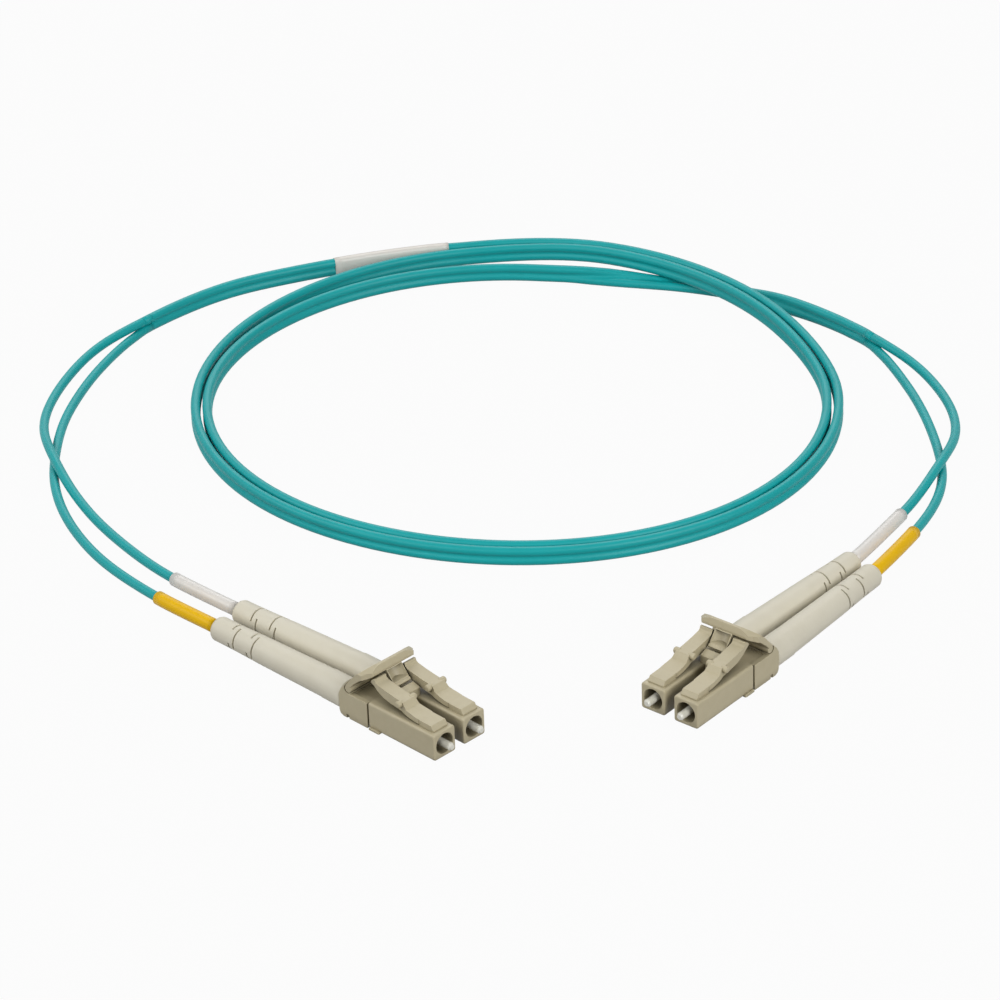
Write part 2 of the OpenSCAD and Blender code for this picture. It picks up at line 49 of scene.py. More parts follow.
camera = bpy.data.objects.new("camera", bpy.data.cameras.new("camera"))
bpy.context.scene.collection.objects.link(camera)
bpy.context.scene.camera = camera
bpy.context.scene.view_settings.view_transform = "Standard"
camera.data.lens = 160
camera.data.sensor_width = 36
camera.data.clip_start = 0.01
eye = Vector((-7.4, -583.1, 365.5)) * MM
aim = Vector((-7.4, 52.4, 0)) * MM
roll = math.radians(-2.0)
back = (eye - aim).normalized()
level = Vector((0, 0, 1)).cross(back).normalized()
steep = back.cross(level)
right = level * math.cos(roll) + steep * math.sin(roll)
up = back.cross(right)
camera.matrix_world = Matrix.Translation(eye) @ Matrix((right, up, back)).transposed().to_4x4()


def linear(text):
    """An sRGB hex colour as linear RGBA."""
    parts = [int(text[i : i + 2], 16) / 255 for i in (1, 3, 5)]
    return [c / 12.92 if c <= 0.04045 else ((c + 0.055) / 1.055) ** 2.4 for c in parts] + [1]


def shader(material, kind, settings=None, **links):
    """Adds a node of that kind with its settings, and links its inputs from other sockets."""
    node = material.node_tree.nodes.new(kind)
    for key, value in (settings or {}).items():
        if isinstance(key, int) or key in node.inputs:
            node.inputs[key].default_value = value
        else:
            setattr(node, key, value)
    for key, source in links.items():
        material.node_tree.links.new(source, node.inputs[key.replace("_", " ")])
    return node


def lamp(name, place, size, watts):
    """A square soft box aimed at the middle of the cord."""
    light = bpy.data.lights.new(name, "AREA")
    light.shape = "SQUARE"
    light.size = size
    light.energy = watts
    thing = bpy.data.objects.new(name, light)
    bpy.context.scene.collection.objects.link(thing)
    thing.location = place
    toward_cord = Vector((0, 0.05, 0)) - Vector(place)
    thing.rotation_euler = toward_cord.to_track_quat("-Z", "Y").to_euler()


# The right box is the key light; the others fill the sides that it leaves dark
lamp("soft_box_right", (0.45, -0.5, 0.4), 0.4, 4.1)
lamp("soft_box_back", (0, 0.6, 0.5), 0.5, 2.0)
lamp("soft_box_front_left", (-0.45, -0.5, 0.4), 0.4, 1.6)
lamp("soft_box_left", (-0.65, 0, 0.45), 0.4, 2.0)


def seen_white(owner):
    """1 for the rays that see plain white: the camera's, and those that metal and glass send on."""
    path = shader(owner, "ShaderNodeLightPath")
    found = path.outputs["Is Camera Ray"]
    for ray in ("Is Transmission Ray", "Is Glossy Ray"):
        either = shader(owner, "ShaderNodeMath", {"operation": "MAXIMUM"})
        owner.node_tree.links.new(found, either.inputs[0])
        owner.node_tree.links.new(path.outputs[ray], either.inputs[1])
        found = either.outputs[0]
    return found


# The world lights the object at a tenth of the white that is seen
WORLD_LIGHT = 0.1
# The floor is this much plain white, and takes the object's shadow with the rest
FLOOR_WHITE = 0.96
FLOOR_SIZE = 6
# A little under the plugs, which stand at 0, so that no two faces share a plane
FLOOR_Z = -0.00002

world = bpy.data.worlds.new("studio")
bpy.context.scene.world = world
world.use_nodes = True
world.node_tree.nodes.clear()
strength = shader(
    world, "ShaderNodeMapRange", {"To Min": WORLD_LIGHT, "To Max": 1.0}, Value=seen_white(world)
)
sky = shader(world, "ShaderNodeBackground", {"Color": (1, 1, 1, 1)}, Strength=strength.outputs[0])
world.node_tree.links.new(
    sky.outputs[0], shader(world, "ShaderNodeOutputWorld").inputs["Surface"]
)

bpy.ops.object.select_all(action="DESELECT")
bpy.ops.mesh.primitive_plane_add(size=FLOOR_SIZE, location=(0, 0, FLOOR_Z))
table = bpy.context.object
table.name = "table"
paper = bpy.data.materials.new("white_paper_sweep")
paper.use_nodes = True
paper.node_tree.nodes.clear()
part_lit = shader(paper, "ShaderNodeMath", {"operation": "MULTIPLY", 1: FLOOR_WHITE})
paper.node_tree.links.new(seen_white(paper), part_lit.inputs[0])
paper_mix = shader(paper, "ShaderNodeMixShader", None, Fac=part_lit.outputs[0])
matt = shader(paper, "ShaderNodeBsdfDiffuse", {"Color": linear("#8C8C8C")})
glow = shader(paper, "ShaderNodeEmission", {"Color": (1, 1, 1, 1), "Strength": 1.0})
paper.node_tree.links.new(matt.outputs[0], paper_mix.inputs[1])
paper.node_tree.links.new(glow.outputs[0], paper_mix.inputs[2])
paper.node_tree.links.new(
    paper_mix.outputs[0], shader(paper, "ShaderNodeOutputMaterial").inputs["Surface"]
)
table.data.materials.append(paper)

# ---------------------------------------------------------------- materials


# Painted shade: the colour that gaps and corners of a moulded part are darkened towards
PAINTED_SHADE_COLOUR = "#5A523C"
# Shares of open air between which the painted shade fades from that colour to the surface's own
PAINTED_SHADE_AIR = (0.1, 0.74)


def plastic(
    name, colour, darker, roughness, grain_mm, depth_mm, mottle_mm, ior=1.5, specular=0.5,
    painted_shade_mm=0,
):
    """A plastic: one colour that clouds a little over mottle_mm, and a grain of its tool or die.

    Given a shade distance in mm, what has other surfaces within it gets painted shade, darker.
    """
    material = bpy.data.materials.new(name)
    material.use_nodes = True
    material.node_tree.nodes.clear()
    place = shader(material, "ShaderNodeTexCoord").outputs["Object"]
    cloud = shader(
        material, "ShaderNodeTexNoise", {"Scale": 1 / (mottle_mm * MM), "Detail": 3.0}, Vector=place
    )
    mix = shader(material, "ShaderNodeMix", {"data_type": "RGBA"}, Factor=cloud.outputs["Fac"])
    mix.inputs[6].default_value = linear(darker)
    mix.inputs[7].default_value = linear(colour)
    tint = mix.outputs[2]
    # Painted shade: ambient occlusion darkens gaps and corners toward the shade colour
    if painted_shade_mm:
        open_air = shader(
            material, "ShaderNodeAmbientOcclusion", {"samples": 8, "Distance": painted_shade_mm * MM}
        )
        depth = shader(
            material,
            "ShaderNodeMapRange",
            {"From Min": PAINTED_SHADE_AIR[0], "From Max": PAINTED_SHADE_AIR[1]},
            Value=open_air.outputs["AO"],
        )
        painted_shade = shader(material, "ShaderNodeMix", {"data_type": "RGBA"}, Factor=depth.outputs[0])
        painted_shade.inputs[6].default_value = linear(PAINTED_SHADE_COLOUR)
        material.node_tree.links.new(tint, painted_shade.inputs[7])
        tint = painted_shade.outputs[2]
    grain = shader(
        material, "ShaderNodeTexNoise", {"Scale": 1 / (grain_mm * MM), "Detail": 2.0}, Vector=place
    )
    bump = shader(
        material,
        "ShaderNodeBump",
        {"Strength": 0.5, "Distance": depth_mm * MM},
        Height=grain.outputs["Fac"],
    )
    sheen = shader(
        material,
        "ShaderNodeMapRange",
        {"To Min": roughness - 0.05, "To Max": roughness + 0.05},
        Value=grain.outputs["Fac"],
    )
    skin = shader(
        material,
        "ShaderNodeBsdfPrincipled",
        {"IOR": ior, "Specular IOR Level": specular},
        Base_Color=tint,
        Roughness=sheen.outputs[0],
        Normal=bump.outputs[0],
    )
    material.node_tree.links.new(
        skin.outputs[0], shader(material, "ShaderNodeOutputMaterial").inputs["Surface"]
    )
    return material


# Polyetherimide, moulded in a spark-eroded tool: satin beige, with painted shade in its gaps.
# The tool's grain is 0.1 mm and wouldn't show, so it is drawn at 0.35 mm
taupe = plastic(
    "moulded_polyetherimide", "#BCB295", "#B2A88A",
    roughness=0.5, grain_mm=0.35, depth_mm=0.035, mottle_mm=1.5, painted_shade_mm=2.8,
)
# Thermoplastic elastomer, moulded: a soft warm white with no sharp highlight. The grain of the
# tool is drawn at 0.45 mm, which is three times as coarse as it is, so that it shows
cream = plastic(
    "moulded_thermoplastic_elastomer", "#DAD5C4", "#D2CCB9",
    roughness=0.55, grain_mm=0.45, depth_mm=0.025, mottle_mm=3.0,
)
# Low-smoke jacket compound, extruded: even satin aqua, with one broad weak highlight on each
# lobe. The die leaves a matt bloom of 0.05 mm, drawn at 0.35 mm so that it shows
aqua = plastic(
    "extruded_lszh_jacket", "#0CA7A9", "#069B9D",
    roughness=0.46, grain_mm=0.35, depth_mm=0.01, mottle_mm=5.0, specular=0.3,
)
# Polyolefin tube, shrunk by heat: smooth and deep in colour, with the 0.5 mm ripple of shrinking
yellow = plastic(
    "shrunk_polyolefin_yellow", "#F0C000", "#E6B400",
    roughness=0.42, grain_mm=0.5, depth_mm=0.006, mottle_mm=3.0, specular=0.2,
)
# The same tube in white, whose ripple shows as a soft sparkle
white = plastic(
    "shrunk_polyolefin_white", "#E2DFDA", "#DAD6D0",
    roughness=0.35, grain_mm=0.5, depth_mm=0.008, mottle_mm=3.0,
)
# Polyester film, cast and laid on by hand: smooth white with a low gloss and slight waves
film = plastic(
    "polyester_label_film", "#DDD8D1", "#D6D1C9",
    roughness=0.38, grain_mm=0.5, depth_mm=0.004, mottle_mm=6.0, ior=1.57,
)
# Zirconia, ground and polished: dense white with sharp reflections and hardly any relief
zirconia = plastic(
    "polished_zirconia", "#DCDACE", "#D4D2C4",
    roughness=0.15, grain_mm=0.5, depth_mm=0.001, mottle_mm=2.0, ior=2.1,
)


def metal(name, colour, roughness, grain_mm):
    """Plated metal whose gloss varies over grain_mm with the marks under the plating."""
    material = bpy.data.materials.new(name)
    material.use_nodes = True
    material.node_tree.nodes.clear()
    place = shader(material, "ShaderNodeTexCoord").outputs["Object"]
    grain = shader(
        material, "ShaderNodeTexNoise", {"Scale": 1 / (grain_mm * MM)}, Vector=place
    )
    gloss = shader(
        material,
        "ShaderNodeMapRange",
        {"To Min": roughness - 0.06, "To Max": roughness + 0.06},
        Value=grain.outputs["Fac"],
    )
    skin = shader(
        material,
        "ShaderNodeBsdfPrincipled",
        {"Base Color": linear(colour), "Metallic": 1.0},
        Roughness=gloss.outputs[0],
    )
    material.node_tree.links.new(
        skin.outputs[0], shader(material, "ShaderNodeOutputMaterial").inputs["Surface"]
    )
    return material


# Brass, turned and nickel plated: light grey reflections, broken by the marks of turning
nickel = metal("nickel_plated_brass", "#C9CACB", roughness=0.3, grain_mm=0.25)

# ---------------------------------------------------------------- where the plugs lie

# For each end: the middle of its nose faces, the way it points, and the side of its white plug
PAIR_NOSE = ((-14.7, -22.2), (17.1, -16.2))
PAIR_YAW = (-45.7, -130.4)
WHITE_SIDE = (1, -1)
PITCH = 6.25
AXIS_HEIGHT = 2.5


def side_of(e, f):
    """1 for the left plug of a pair and -1 for the right one."""
    return WHITE_SIDE[e] if f == 0 else -WHITE_SIDE[e]


def pair_place(e):
    """Plug frame of a pair, in mm: X forward, Y left, Z up."""
    return Matrix.Translation((*PAIR_NOSE[e], 0)) @ Matrix.Rotation(
        math.radians(PAIR_YAW[e]), 4, "Z"
    )


def plug_place(e, f):
    """Frame of one plug, in mm, with its nose face at X = 0 and its axis at Y = 0."""
    return pair_place(e) @ Matrix.Translation((0, side_of(e, f) * PITCH / 2, 0))


# A boot turns a little on this point: sideways by each plug's bend in degrees, and down
BOOT_JOINT = Vector((-24.4, 0, AXIS_HEIGHT))
BOOT_BEND = ((1.2, 0), (-0.4, 2.8))
BOOT_DROOP = math.radians(1)
# From that point to the boot's rear end, for white and yellow
BOOT_REAR = (27.3, 26.1)


def boot_direction(e, f):
    """Unit vector along a boot, from its joint to its rear end, in the plug's frame."""
    bend = math.radians(BOOT_BEND[e][f])
    v = Vector((-math.cos(BOOT_DROOP), 0, -math.sin(BOOT_DROOP)))
    return Matrix.Rotation(bend, 3, "Z") @ v


def boot_end(e, f):
    """Where a boot's axis ends, on the table."""
    return plug_place(e, f) @ (BOOT_JOINT + BOOT_REAR[f] * boot_direction(e, f))


# ---------------------------------------------------------------- cord routes, in mm

# For each end and fibre: where the leg comes out of its sleeve, and its way to the split
SLEEVE_END = (((-60.5, 28.5, 1.5), (-62.5, 22.5, 1.5)), ((58, 41, 1.5), (59.5, 35, 1.5)))
LEG_ROUTE = (
    (
        [(-65, 35, 0.9), (-70, 42.5, 0.8), (-75, 51, 0.9), (-79, 59.5, 1.6), (-81, 64.5, 2.4),
         (-82.5, 69.5, 2.5), (-84, 75.5, 1.7), (-85, 84, 0.8), (-83.5, 93.5, 0.8),
         (-80.5, 102.5, 1), (-76, 110, 1.9)],
        [(-66, 27.5, 1), (-71, 34, 0.8), (-75.5, 42, 0.8), (-79, 50.5, 0.8), (-81, 58, 0.8),
         (-82, 65.5, 0.8), (-82, 74, 0.8), (-81.5, 83, 0.8), (-79.5, 92, 0.8), (-77, 100.5, 0.8),
         (-73.5, 108.5, 0.8)],
    ),
    (
        [(61, 46.5, 1.2), (63.5, 51, 2.2), (65.5, 55.5, 2.5), (67.5, 60, 2.2), (69.5, 67, 1),
         (70, 74, 0.8), (69, 81, 0.8), (67, 88, 0.9), (63.5, 94.5, 1.8)],
        [(62, 40.5, 1), (64.5, 47, 0.8), (66, 54, 0.8), (66, 62, 0.8), (65.5, 70, 0.8),
         (64.5, 78, 0.8), (63, 85.5, 0.8), (61, 93, 0.8)],
    ),
)
# The zip cord stands on its edge, with its middle ZIP_Z over the table and one lobe on the other
ZIP_Z = 1.7
LOBE_OFFSET = 0.82
LOBE_R = 0.8
SLEEVE_R = 1.14
SPLIT = (Vector((-69.5, 115.5, ZIP_Z)), Vector((58.5, 100, ZIP_Z)))
LEAD_LEFT = [SPLIT[0], (-66, 119.5, ZIP_Z), (-60.5, 124.5, ZIP_Z), (-54.5, 129, ZIP_Z),
             (-48, 131.9, ZIP_Z), (-41.5, 134.3, ZIP_Z)]
LABEL_ROUTE = [(-36, 136.2, ZIP_Z), (-30, 137.9, ZIP_Z), (-24, 139.3, ZIP_Z)]
# This lead crosses beneath the coil lying flat: the fourth number is the cord's twist in degrees
LEAD_RIGHT = [(9, 129.7, 1.7, 0), (15, 128.6, 1.4, 45), (21, 127.3, 0.82, 90),
              (26.5, 126, 0.82, 90), (32, 123.9, 0.82, 90), (37.5, 121.4, 0.82, 90),
              (42.5, 117.9, 1.35, 45), (47, 113.5, 1.7, 0), (51.5, 109.2, 1.7, 0),
              (55.5, 105, 1.7, 0), (58.5, 100, 1.7, 0)]

# The coil runs clockwise for COIL_TURN degrees and comes in by COIL_STEP a turn. It starts a
# little wide, and over its last part it drifts in, away from the loops
COIL_CENTRE = (-3.15, 85.75)
COIL_START_ANGLE = 100
COIL_START_R = 55.6
COIL_STEP = 2
COIL_TURN = 735
# Cosine and sine parts of the radius once, twice and three times round
OUT_OF_ROUND = ((-1.2, -0.7), (0.2, -1.2), (-0.3, -0.4))
FIRST_RISE = 0.5
FIRST_TURN = 30
LAST_DRIFT = 5.4
DRIFT_FROM = 640
DRIFT_OVER = 100
# Both loops rise over the lead that crosses beneath them, and draw in there
CROSSING_ANGLE = 47.5
CROSSING_HALF = 22.5
CROSSING_EASE = 30
CROSSING_DRAW = 2
CROSSING_RISE = 2
# After this many degrees the cord is past the crossing, and is the one beneath
LAST_LIFTED = 600
# Straight cord at each end of the coil
STUB = 3.3


def smooth(x):
    """An S-shaped step from 0 to 1."""
    c = min(1, max(0, x))
    return c * c * (3 - 2 * c)


def lift(t):
    """How far the coil is lifted t degrees from its start, from 0 to 1."""
    if t > LAST_LIFTED:
        return 0
    a = COIL_START_ANGLE - t % 360
    return smooth(1 - (abs(a - CROSSING_ANGLE) - CROSSING_HALF) / CROSSING_EASE)


def coil_point(t):
    """Middle of the zip cord t degrees from the coil's start."""
    a = math.radians(COIL_START_ANGLE - t)
    wobble = sum(
        c * math.cos((k + 1) * a) + s * math.sin((k + 1) * a)
        for k, (c, s) in enumerate(OUT_OF_ROUND)
    )
    spiral = COIL_START_R - COIL_STEP * t / 360
    ends = FIRST_RISE * smooth(1 - t / FIRST_TURN)
    ends -= LAST_DRIFT * smooth((t - DRIFT_FROM) / DRIFT_OVER)
    r = spiral + ends + wobble - CROSSING_DRAW * lift(t)
    height = ZIP_Z + CROSSING_RISE * lift(t)
    return Vector((COIL_CENTRE[0] + r * math.cos(a), COIL_CENTRE[1] + r * math.sin(a), height))


def flat_way(a, b):
    """The level direction from a to b."""
    return Vector((b[0] - a[0], b[1] - a[1], 0)).normalized()


def spline(points, step):
    """Points about a step apart on a smooth curve through the given ones.

    It is a centripetal Catmull-Rom curve. A point's fourth number, if any, is smoothed with it.
    """
    p = [Vector(q) for q in points]
    p = [2 * p[0] - p[1]] + p + [2 * p[-1] - p[-2]]
    out = []
    for i in range(1, len(p) - 2):
        a, b, c, d = p[i - 1 : i + 3]
        t0, t1 = 0.0, max(1e-6, (b.xyz - a.xyz).length) ** 0.5
        t2 = t1 + max(1e-6, (c.xyz - b.xyz).length) ** 0.5
        t3 = t2 + max(1e-6, (d.xyz - c.xyz).length) ** 0.5
        count = max(1, round((c.xyz - b.xyz).length / step))
        for k in range(count):
            t = t1 + (t2 - t1) * k / count
            ab = a * ((t1 - t) / (t1 - t0)) + b * ((t - t0) / (t1 - t0))
            bc = b * ((t2 - t) / (t2 - t1)) + c * ((t - t1) / (t2 - t1))
            cd = c * ((t3 - t) / (t3 - t2)) + d * ((t - t2) / (t3 - t2))
            abc = ab * ((t2 - t) / (t2 - t0)) + bc * ((t - t0) / (t2 - t0))
            bcd = bc * ((t3 - t) / (t3 - t1)) + cd * ((t - t1) / (t3 - t1))
            out.append(abc * ((t2 - t) / (t2 - t1)) + bcd * ((t - t1) / (t2 - t1)))
    return out + [p[-2]]


def eased(line, reach):
    """Spreads each bend of a sampled line over its neighbours, as a stiff jacket does."""
    for _ in range(2):
        last = len(line) - 1
        spans = [min(reach, i, last - i) for i in range(len(line))]
        line = [
            sum(line[i - k : i + k + 1], 0 * line[i]) / (2 * k + 1) for i, k in enumerate(spans)
        ]
    return line


def tube(name, line, profile, material):
    """A closed tube along line, with a ring of (sideways, up) points at each point of it, in mm.

    The profile may be a function of the point's number, if it changes along the line. A fourth
    number of a point turns its ring, in degrees.
    """
    bm = bmesh.new()
    rings = []
    for i, p in enumerate(line):
        ahead = (line[min(i + 1, len(line) - 1)].xyz - line[max(i - 1, 0)].xyz).normalized()
        side = Vector((0, 0, 1)).cross(ahead).normalized()
        rise = ahead.cross(side)
        twist = math.radians(p[3]) if len(p) > 3 else 0
        c, s = math.cos(twist), math.sin(twist)
        rings.append([
            bm.verts.new((p.xyz + side * (a * c + b * s) + rise * (b * c - a * s)) * MM)
            for a, b in (profile(i) if callable(profile) else profile)
        ])
    for first, second in zip(rings, rings[1:]):
        for j in range(len(first)):
            k = (j + 1) % len(first)
            bm.faces.new((first[j], first[k], second[k], second[j])).smooth = True
    bm.faces.new(rings[0])
    bm.faces.new(list(reversed(rings[-1])))
    bmesh.ops.recalc_face_normals(bm, faces=bm.faces)
    mesh = bpy.data.meshes.new(name)
    bm.to_mesh(mesh)
    bm.free()
    piece = bpy.data.objects.new(name, mesh)
    bpy.context.scene.collection.objects.link(piece)
    mesh.materials.append(material)
    return piece


def circle(r, n):
    """A round profile of n points."""
    return [(r * math.sin(math.tau * i / n), r * math.cos(math.tau * i / n)) for i in range(n)]


# Half the web's width along the cord, where it is broad, and at its torn ends
WEB_HALF = 0.5
WEB_END = 0.08
# The web runs out over this many points of the line
WEB_TEAR = 6
LOBE_POINTS = 16
# Distance between the points of a sampled line, and the number of steps round the coil
SAMPLE = 1.5
COIL_STEPS = 294
# How many points on each side a bend spreads over
BEND_REACH = 3
CROSSING_REACH = 4


def zip_section(web_half):
    """Two lobes on each other with a web between."""
    gap = math.degrees(math.asin(web_half / LOBE_R))
    turn = [
        math.radians(-180 + gap + (360 - 2 * gap) * i / (LOBE_POINTS - 1))
        for i in range(LOBE_POINTS)
    ]
    lobe = [(LOBE_R * math.sin(a), LOBE_OFFSET + LOBE_R * math.cos(a)) for a in turn]
    return lobe + [(-x, -z) for x, z in lobe]


def torn_web(i):
    """The web is broad, so the groove is shallow, and it runs out where the cord is split."""
    from_end = min(i, len(zip_line) - 1 - i)
    return zip_section(WEB_END + (WEB_HALF - WEB_END) * smooth(from_end / WEB_TEAR))


way_in = flat_way(coil_point(0), coil_point(2))
way_out = flat_way(coil_point(COIL_TURN - 2), coil_point(COIL_TURN))
coil_in = coil_point(0) - STUB * way_in
coil_out = coil_point(COIL_TURN) + STUB * way_out
lead_in = [(*p, 0) for p in LEAD_LEFT + LABEL_ROUTE + [coil_in - 3 * way_in, coil_in]]
lead_in = eased(spline(lead_in, SAMPLE), BEND_REACH)
loops = [Vector((*coil_point(COIL_TURN * i / COIL_STEPS), 0)) for i in range(COIL_STEPS + 1)]
lead_out = [(*coil_out, 0), (*(coil_out + 2 * way_out), 0)] + LEAD_RIGHT
lead_out = eased(spline(lead_out, SAMPLE), CROSSING_REACH)
zip_line = lead_in + loops + lead_out
zip_cord = tube("zip_cord", zip_line, torn_web, aqua)
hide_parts("zip_lead_left", "zip_coil", "zip_lead_right")
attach(zip_cord, ROOT)

# The label is a strip of film wrapped round the zip cord. It spans the groove, so its section is
# a rectangle with round corners: the powers set how square its sides and its ends are
LABEL_HALF_WIDTH = 0.9
LABEL_HALF_HEIGHT = 1.69
LABEL_SIDE_POWER = 0.55
LABEL_END_POWER = 0.7

label_start = min(
    range(len(lead_in)), key=lambda i: (lead_in[i].xyz - Vector(LABEL_ROUTE[0])).length
)
label_line = lead_in[label_start:] + [Vector((*(coil_in + way_in), 0))]
label_profile = []
for a in range(0, 360, 15):
    x, z = math.sin(math.radians(a)), math.cos(math.radians(a))
    label_profile.append((
        LABEL_HALF_WIDTH * math.copysign(abs(x) ** LABEL_SIDE_POWER, x),
        LABEL_HALF_HEIGHT * math.copysign(abs(z) ** LABEL_END_POWER, z),
    ))
label = tube("label_wrap", label_line, label_profile, film)
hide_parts("label")
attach(label, ROOT)

# Where the leg's line has its points inside the boot and inside the sleeve, as shares of each
IN_BOOT = (0, 0.35, 0.7, 0.97)
IN_SLEEVE = (0.1, 0.5, 0.97)
# The sleeve starts this far behind the boot
SLEEVE_GAP = 0.3
# The leg's last points lie this far before and after the zip cord's end, in line with its lobe
LOBE_RUN = 2

legs = []
for e, end in enumerate(ENDS):
    for f, fibre in enumerate(FIBRES):
        start = plug_place(e, f) @ BOOT_JOINT
        leave = boot_end(e, f)
        toward = flat_way((LEAD_LEFT[1], LEAD_RIGHT[-2])[e], SPLIT[e])
        lobe_end = SPLIT[e] + Vector((0, 0, LOBE_OFFSET if f == 0 else -LOBE_OFFSET))
        tip = Vector(SLEEVE_END[e][f])
        stations = [start + (leave - start) * k for k in IN_BOOT]
        stations += [leave + (tip - leave) * k for k in IN_SLEEVE]
        stations += [Vector(p) for p in LEG_ROUTE[e][f]]
        stations += [lobe_end + LOBE_RUN * toward, lobe_end, lobe_end - LOBE_RUN * toward]
        line = eased(spline(stations, SAMPLE), BEND_REACH)
        leg = tube(f"{end}_{fibre}_fibre", line, circle(LOBE_R, 20), aqua)
        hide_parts(f"{end}_{fibre}_leg")
        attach(leg, ROOT)
        behind_boot = BOOT_REAR[f] + SLEEVE_GAP
        begin = next(i for i, p in enumerate(line) if (p - start).length > behind_boot)
        stop = min(range(len(line)), key=lambda i: (line[i] - tip).length)
        shell = tube(
            f"{end}_{fibre}_sleeve_shrunk", line[begin : stop + 1], circle(SLEEVE_R, 24),
            white if f == 0 else yellow,
        )
        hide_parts(f"{end}_{fibre}_sleeve")
        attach(shell, ROOT)
        legs.append((leg, line, shell))

for leg, line, shell in legs:
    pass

# ---------------------------------------------------------------- moulded pieces


def rounded(corners, count=4):
    """A closed outline with each (x, z, r) corner rounded to about radius r."""
    out = []
    for i, corner in enumerate(corners):
        p = Vector(corner[:2])
        if len(corner) == 2:
            out.append(p)
            continue
        a = Vector(corners[i - 1][:2]) - p
        b = Vector(corners[(i + 1) % len(corners)][:2]) - p
        cut = min(corner[2] / math.tan(a.angle(b) / 2), 0.49 * a.length, 0.49 * b.length)
        first, last = p + a.normalized() * cut, p + b.normalized() * cut
        for k in range(count + 1):
            t = k / count
            out.append(first * (1 - t) ** 2 + p * 2 * t * (1 - t) + last * t**2)
    return out


def mirrored(half):
    """A plan outline from the points of its left half, front to back."""
    return list(half) + [(p[0], -p[1], *p[2:]) for p in reversed(half)]


def soften(piece, edge, segments=3, angle=35):
    """Rounds every edge that is sharper than angle."""
    bpy.context.view_layer.objects.active = piece
    bevel = piece.modifiers.new("edges", "BEVEL")
    bevel.width = edge
    bevel.segments = segments
    bevel.limit_method = "ANGLE"
    bevel.angle_limit = math.radians(angle)
    bevel.use_clamp_overlap = True
    bpy.ops.object.modifier_apply(modifier=bevel.name)


def slab(outline, low, high, edge=0, upright=True):
    """An outline extruded from low to high: upright, drawn as (x, z), or flat, as (x, y)."""
    bpy.ops.object.select_all(action="DESELECT")
    bpy.ops.mesh.primitive_circle_add(vertices=len(outline), fill_type="NGON")
    piece = bpy.context.object
    for vertex, (a, b) in zip(piece.data.vertices, outline):
        vertex.co = (a, low, b) if upright else (a, b, low)
    rise = (0, high - low, 0) if upright else (0, 0, high - low)
    bpy.ops.object.mode_set(mode="EDIT")
    bpy.ops.mesh.select_all(action="SELECT")
    bpy.ops.mesh.extrude_region_move(TRANSFORM_OT_translate={"value": rise})
    bpy.ops.mesh.select_all(action="SELECT")
    bpy.ops.mesh.normals_make_consistent(inside=False)
    bpy.ops.object.mode_set(mode="OBJECT")
    if edge:
        soften(piece, edge)
    return piece


def drum(middle, r, length, way, edge=0, sides=32, r2=None):
    """A round bar with its axis along X, Y or Z, or a cone that ends at radius r2."""
    bpy.ops.object.select_all(action="DESELECT")
    turn = {"X": (0, math.pi / 2, 0), "Y": (math.pi / 2, 0, 0), "Z": (0, 0, 0)}[way]
    bpy.ops.mesh.primitive_cone_add(
        vertices=sides, radius1=r, radius2=r if r2 is None else r2, depth=length,
        location=middle, rotation=turn,
    )
    piece = bpy.context.object
    bpy.ops.object.transform_apply(location=True, rotation=True, scale=True)
    if edge:
        soften(piece, edge, angle=60)
    return piece


def carve(piece, tool, operation="DIFFERENCE"):
    """Cuts the tool out of a piece, or keeps only what is in both, and uses up the tool."""
    bpy.context.view_layer.objects.active = piece
    step = piece.modifiers.new("carve", "BOOLEAN")
    step.object = tool
    step.operation = operation
    step.solver = "EXACT"
    bpy.ops.object.modifier_apply(modifier=step.name)
    bpy.data.objects.remove(tool)


def joined(*pieces):
    """One object of several."""
    bpy.ops.object.select_all(action="DESELECT")
    for piece in pieces:
        piece.select_set(True)
    bpy.context.view_layer.objects.active = pieces[0]
    bpy.ops.object.join()
    return bpy.context.object


# Side of the square nose, and the heights of its top and bottom
NOSE = 4.52
NOSE_TOP = AXIS_HEIGHT + NOSE / 2
NOSE_BOTTOM = AXIS_HEIGHT - NOSE / 2
# Nose face to the seam in front of the clip
BODY_LENGTH = 14.2
# Middles of the hinge barrels as (x, z), with their radii and those of their grooves
LATCH_HINGE = (-3.95, 5.33)
LATCH_BARREL_R = 0.42
LATCH_GROOVE_R = 0.43
TRIGGER_HINGE = (-18.55, 5.3)
TRIGGER_BARREL_R = 0.65
TRIGGER_GROOVE_R = 0.74
# Half the clip's width, and half the width of the trigger's bar
CLIP_HALF = 5.45
BAR_HALF = 4.85
# The front face of the trigger's web leans back by this many degrees
WEB_LEAN = 37.6


def section(width, bottom, top, r):
    """A rounded rectangle across the plug as (y, z)."""
    w = width / 2
    return rounded([(-w, bottom, r), (w, bottom, r), (w, top, r), (-w, top, r)])


def bar(outline, front, back):
    """A (y, z) section run along the plug from front back to back."""
    piece = slab(outline, 0, back - front, upright=False)
    piece.data.transform(Matrix(((0, 0, -1, -front), (1, 0, 0, 0), (0, 1, 0, 0), (0, 0, 0, 1))))
    bpy.ops.object.select_all(action="DESELECT")
    piece.select_set(True)
    bpy.context.view_layer.objects.active = piece
    bpy.ops.object.mode_set(mode="EDIT")
    bpy.ops.mesh.select_all(action="SELECT")
    bpy.ops.mesh.normals_make_consistent(inside=False)
    bpy.ops.object.mode_set(mode="OBJECT")
    return piece


